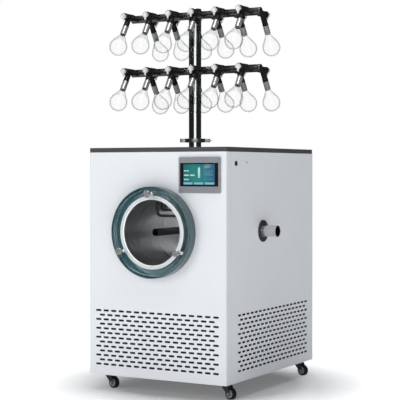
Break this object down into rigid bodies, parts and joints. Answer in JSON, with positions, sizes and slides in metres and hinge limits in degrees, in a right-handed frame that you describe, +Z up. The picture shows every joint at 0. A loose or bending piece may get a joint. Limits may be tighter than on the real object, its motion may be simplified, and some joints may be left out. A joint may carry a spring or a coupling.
{
  "type": "laboratory freeze dryer",
  "caption": "Floor-standing freeze dryer on castors: white cabinet with a round clear window, touch screen, side vacuum port and a two-tier flask manifold on top.",
  "frame": {"origin": "middle of the underside of the whole machine's box, on the floor", "axes": "+Z up, +Y to the back, +X to the machine's right-hand side as seen from the front, where the side port is; the front with the round window faces -Y"},
  "size_m": [0.7736, 0.9622, 1.73],
  "materials": {
    "frame_steel": "matt powder coat, dark grey",
    "white_panel": "smooth satin powder coat, cool white",
    "worktop_slab": "matt dark grey compact laminate",
    "screen_case": "fine satin grey",
    "screen_pane": "glossy black glass front with a lit display",
    "vessel_steel": "brushed stainless steel, dull inside",
    "polished_steel": "polished stainless steel",
    "foam": "closed-cell foam jacket",
    "teal_dish": "glossy moulded plastic, dark teal",
    "silicone": "soft white silicone",
    "clear_acrylic": "clear cast acrylic, polished edge",
    "grip_chrome": "bright chrome",
    "black_rubber": "black rubber, slight sheen",
    "grommet_rubber": "dark grey rubber",
    "knob_white": "white moulded plastic",
    "adapter_steel": "turned and polished steel",
    "flask_glass": "clear blown glass",
    "castor_metal": "dark grey zinc and plastic",
    "castor_tyre": "black rubber tread",
    "button_dark": "dark push button",
    "machine_black": "black enamel",
    "fin_aluminium": "plain aluminium fins",
    "fan_plastic": "black moulded plastic",
    "inlet_plastic": "black moulded plastic"
  },
  "bodies": {
    "cabinet": {"frame": "frame_steel", "front_panel": "white_panel", "right_side_panel": "white_panel", "left_side_panel": "white_panel", "rear_panel": "white_panel", "worktop": "worktop_slab", "screen_housing": "screen_case", "screen_glass": "screen_pane", "chamber": "vessel_steel", "chamber_insulation": "foam", "door_surround": "teal_dish", "door_gasket": "silicone", "door_window": "clear_acrylic", "side_port_grommet": "grommet_rubber", "riser_clamp": "polished_steel", "manifold": "polished_steel", "valve_bodies": "black_rubber", "port_adapters": "adapter_steel", "flasks": "flask_glass", "compressor": "machine_black", "condenser": "fin_aluminium", "power_inlet": "inlet_plastic"},
    "door_knob_1": {"door_knob_1": "grip_chrome"},
    "door_knob_2": {"door_knob_2": "grip_chrome"},
    "door_knob_3": {"door_knob_3": "grip_chrome"},
    "clamp_wing_nut": {"clamp_wing_nut": "polished_steel"},
    "power_button": {"power_button": "button_dark"},
    "condenser_fan": {"condenser_fan": "fan_plastic"},
    "castor_fork_front_right": {"castor_fork_front_right": "castor_metal"},
    "castor_wheel_front_right": {"castor_wheel_front_right": "castor_tyre"},
    "castor_fork_front_left": {"castor_fork_front_left": "castor_metal"},
    "castor_wheel_front_left": {"castor_wheel_front_left": "castor_tyre"},
    "castor_fork_rear_right": {"castor_fork_rear_right": "castor_metal"},
    "castor_wheel_rear_right": {"castor_wheel_rear_right": "castor_tyre"},
    "castor_fork_rear_left": {"castor_fork_rear_left": "castor_metal"},
    "castor_wheel_rear_left": {"castor_wheel_rear_left": "castor_tyre"},
    "valve_knob_upper_front_1": {"valve_knob_upper_front_1": "knob_white"},
    "valve_knob_upper_front_2": {"valve_knob_upper_front_2": "knob_white"},
    "valve_knob_upper_front_3": {"valve_knob_upper_front_3": "knob_white"},
    "valve_knob_upper_front_4": {"valve_knob_upper_front_4": "knob_white"},
    "valve_knob_upper_front_5": {"valve_knob_upper_front_5": "knob_white"},
    "valve_knob_upper_front_6": {"valve_knob_upper_front_6": "knob_white"},
    "valve_knob_upper_rear_1": {"valve_knob_upper_rear_1": "knob_white"},
    "valve_knob_upper_rear_2": {"valve_knob_upper_rear_2": "knob_white"},
    "valve_knob_upper_rear_3": {"valve_knob_upper_rear_3": "knob_white"},
    "valve_knob_upper_rear_4": {"valve_knob_upper_rear_4": "knob_white"},
    "valve_knob_upper_rear_5": {"valve_knob_upper_rear_5": "knob_white"},
    "valve_knob_upper_rear_6": {"valve_knob_upper_rear_6": "knob_white"},
    "valve_knob_lower_front_1": {"valve_knob_lower_front_1": "knob_white"},
    "valve_knob_lower_front_2": {"valve_knob_lower_front_2": "knob_white"},
    "valve_knob_lower_front_3": {"valve_knob_lower_front_3": "knob_white"},
    "valve_knob_lower_front_4": {"valve_knob_lower_front_4": "knob_white"},
    "valve_knob_lower_front_5": {"valve_knob_lower_front_5": "knob_white"},
    "valve_knob_lower_front_6": {"valve_knob_lower_front_6": "knob_white"},
    "valve_knob_lower_rear_1": {"valve_knob_lower_rear_1": "knob_white"},
    "valve_knob_lower_rear_2": {"valve_knob_lower_rear_2": "knob_white"},
    "valve_knob_lower_rear_3": {"valve_knob_lower_rear_3": "knob_white"},
    "valve_knob_lower_rear_4": {"valve_knob_lower_rear_4": "knob_white"},
    "valve_knob_lower_rear_5": {"valve_knob_lower_rear_5": "knob_white"},
    "valve_knob_lower_rear_6": {"valve_knob_lower_rear_6": "knob_white"}
  },
  "joints": [
    {"name": "door_knob_1_turn", "type": "hinge", "parent": "cabinet", "child": "door_knob_1", "pos_m": [-0.03675, -0.4699, 0.884], "axis": [0, -1, 0], "continuous": true},
    {"name": "door_knob_2_turn", "type": "hinge", "parent": "cabinet", "child": "door_knob_2", "pos_m": [-0.18224, -0.4699, 0.632], "axis": [0, -1, 0], "continuous": true},
    {"name": "door_knob_3_turn", "type": "hinge", "parent": "cabinet", "child": "door_knob_3", "pos_m": [0.10874, -0.4699, 0.632], "axis": [0, -1, 0], "continuous": true},
    {"name": "clamp_wing_nut_turn", "type": "hinge", "parent": "cabinet", "child": "clamp_wing_nut", "pos_m": [0.02501, -0.03417, 1.124], "axis": [0.4909, -0.8712, 0], "continuous": true},
    {"name": "power_button_press", "type": "slide", "parent": "cabinet", "child": "power_button", "axis": [-1, 0, 0], "range_m": [0, 0.003], "stiffness_N_per_m": 400, "springref_m": -0.002},
    {"name": "condenser_fan_spin", "type": "hinge", "parent": "cabinet", "child": "condenser_fan", "pos_m": [-0.07675, -0.3009, 0.225], "axis": [0, 1, 0], "continuous": true},
    {"name": "castor_front_right_swivel", "type": "hinge", "parent": "cabinet", "child": "castor_fork_front_right", "pos_m": [0.26325, -0.3039, 0.072], "axis": [0, 0, 1], "continuous": true},
    {"name": "castor_front_right_roll", "type": "hinge", "parent": "castor_fork_front_right", "child": "castor_wheel_front_right", "pos_m": [0.28751, -0.30995, 0.025], "axis": [0.2419, 0.9703, 0], "continuous": true},
    {"name": "castor_front_left_swivel", "type": "hinge", "parent": "cabinet", "child": "castor_fork_front_left", "pos_m": [-0.33675, -0.3039, 0.072], "axis": [0, 0, 1], "continuous": true},
    {"name": "castor_front_left_roll", "type": "hinge", "parent": "castor_fork_front_left", "child": "castor_wheel_front_left", "pos_m": [-0.31249, -0.30995, 0.025], "axis": [0.2419, 0.9703, 0], "continuous": true},
    {"name": "castor_rear_right_swivel", "type": "hinge", "parent": "cabinet", "child": "castor_fork_rear_right", "pos_m": [0.26325, 0.4311, 0.072], "axis": [0, 0, 1], "continuous": true},
    {"name": "castor_rear_right_roll", "type": "hinge", "parent": "castor_fork_rear_right", "child": "castor_wheel_rear_right", "pos_m": [0.28751, 0.42505, 0.025], "axis": [0.2419, 0.9703, 0], "continuous": true},
    {"name": "castor_rear_left_swivel", "type": "hinge", "parent": "cabinet", "child": "castor_fork_rear_left", "pos_m": [-0.33675, 0.4311, 0.072], "axis": [0, 0, 1], "continuous": true},
    {"name": "castor_rear_left_roll", "type": "hinge", "parent": "castor_fork_rear_left", "child": "castor_wheel_rear_left", "pos_m": [-0.31249, 0.42505, 0.025], "axis": [0.2419, 0.9703, 0], "continuous": true},
    {"name": "valve_knob_upper_front_1_turn", "type": "hinge", "parent": "cabinet", "child": "valve_knob_upper_front_1", "pos_m": [-0.33675, -0.1979, 1.7], "axis": [0, -1, 0], "range_deg": [0, 180]},
    {"name": "valve_knob_upper_front_2_turn", "type": "hinge", "parent": "cabinet", "child": "valve_knob_upper_front_2", "pos_m": [-0.21675, -0.1979, 1.7], "axis": [0, -1, 0], "range_deg": [0, 180]},
    {"name": "valve_knob_upper_front_3_turn", "type": "hinge", "parent": "cabinet", "child": "valve_knob_upper_front_3", "pos_m": [-0.09675, -0.1979, 1.7], "axis": [0, -1, 0], "range_deg": [0, 180]},
    {"name": "valve_knob_upper_front_4_turn", "type": "hinge", "parent": "cabinet", "child": "valve_knob_upper_front_4", "pos_m": [0.02325, -0.1979, 1.7], "axis": [0, -1, 0], "range_deg": [0, 180]},
    {"name": "valve_knob_upper_front_5_turn", "type": "hinge", "parent": "cabinet", "child": "valve_knob_upper_front_5", "pos_m": [0.14325, -0.1979, 1.7], "axis": [0, -1, 0], "range_deg": [0, 180]},
    {"name": "valve_knob_upper_front_6_turn", "type": "hinge", "parent": "cabinet", "child": "valve_knob_upper_front_6", "pos_m": [0.26325, -0.1979, 1.7], "axis": [0, -1, 0], "range_deg": [0, 180]},
    {"name": "valve_knob_upper_rear_1_turn", "type": "hinge", "parent": "cabinet", "child": "valve_knob_upper_rear_1", "pos_m": [-0.33675, 0.0921, 1.7], "axis": [0, 1, 0], "range_deg": [0, 180]},
    {"name": "valve_knob_upper_rear_2_turn", "type": "hinge", "parent": "cabinet", "child": "valve_knob_upper_rear_2", "pos_m": [-0.21675, 0.0921, 1.7], "axis": [0, 1, 0], "range_deg": [0, 180]},
    {"name": "valve_knob_upper_rear_3_turn", "type": "hinge", "parent": "cabinet", "child": "valve_knob_upper_rear_3", "pos_m": [-0.09675, 0.0921, 1.7], "axis": [0, 1, 0], "range_deg": [0, 180]},
    {"name": "valve_knob_upper_rear_4_turn", "type": "hinge", "parent": "cabinet", "child": "valve_knob_upper_rear_4", "pos_m": [0.02325, 0.0921, 1.7], "axis": [0, 1, 0], "range_deg": [0, 180]},
    {"name": "valve_knob_upper_rear_5_turn", "type": "hinge", "parent": "cabinet", "child": "valve_knob_upper_rear_5", "pos_m": [0.14325, 0.0921, 1.7], "axis": [0, 1, 0], "range_deg": [0, 180]},
    {"name": "valve_knob_upper_rear_6_turn", "type": "hinge", "parent": "cabinet", "child": "valve_knob_upper_rear_6", "pos_m": [0.26325, 0.0921, 1.7], "axis": [0, 1, 0], "range_deg": [0, 180]},
    {"name": "valve_knob_lower_front_1_turn", "type": "hinge", "parent": "cabinet", "child": "valve_knob_lower_front_1", "pos_m": [-0.33675, -0.1979, 1.445], "axis": [0, -1, 0], "range_deg": [0, 180]},
    {"name": "valve_knob_lower_front_2_turn", "type": "hinge", "parent": "cabinet", "child": "valve_knob_lower_front_2", "pos_m": [-0.21675, -0.1979, 1.445], "axis": [0, -1, 0], "range_deg": [0, 180]},
    {"name": "valve_knob_lower_front_3_turn", "type": "hinge", "parent": "cabinet", "child": "valve_knob_lower_front_3", "pos_m": [-0.09675, -0.1979, 1.445], "axis": [0, -1, 0], "range_deg": [0, 180]},
    {"name": "valve_knob_lower_front_4_turn", "type": "hinge", "parent": "cabinet", "child": "valve_knob_lower_front_4", "pos_m": [0.02325, -0.1979, 1.445], "axis": [0, -1, 0], "range_deg": [0, 180]},
    {"name": "valve_knob_lower_front_5_turn", "type": "hinge", "parent": "cabinet", "child": "valve_knob_lower_front_5", "pos_m": [0.14325, -0.1979, 1.445], "axis": [0, -1, 0], "range_deg": [0, 180]},
    {"name": "valve_knob_lower_front_6_turn", "type": "hinge", "parent": "cabinet", "child": "valve_knob_lower_front_6", "pos_m": [0.26325, -0.1979, 1.445], "axis": [0, -1, 0], "range_deg": [0, 180]},
    {"name": "valve_knob_lower_rear_1_turn", "type": "hinge", "parent": "cabinet", "child": "valve_knob_lower_rear_1", "pos_m": [-0.33675, 0.0921, 1.445], "axis": [0, 1, 0], "range_deg": [0, 180]},
    {"name": "valve_knob_lower_rear_2_turn", "type": "hinge", "parent": "cabinet", "child": "valve_knob_lower_rear_2", "pos_m": [-0.21675, 0.0921, 1.445], "axis": [0, 1, 0], "range_deg": [0, 180]},
    {"name": "valve_knob_lower_rear_3_turn", "type": "hinge", "parent": "cabinet", "child": "valve_knob_lower_rear_3", "pos_m": [-0.09675, 0.0921, 1.445], "axis": [0, 1, 0], "range_deg": [0, 180]},
    {"name": "valve_knob_lower_rear_4_turn", "type": "hinge", "parent": "cabinet", "child": "valve_knob_lower_rear_4", "pos_m": [0.02325, 0.0921, 1.445], "axis": [0, 1, 0], "range_deg": [0, 180]},
    {"name": "valve_knob_lower_rear_5_turn", "type": "hinge", "parent": "cabinet", "child": "valve_knob_lower_rear_5", "pos_m": [0.14325, 0.0921, 1.445], "axis": [0, 1, 0], "range_deg": [0, 180]},
    {"name": "valve_knob_lower_rear_6_turn", "type": "hinge", "parent": "cabinet", "child": "valve_knob_lower_rear_6", "pos_m": [0.26325, 0.0921, 1.445], "axis": [0, 1, 0], "range_deg": [0, 180]}
  ]
}
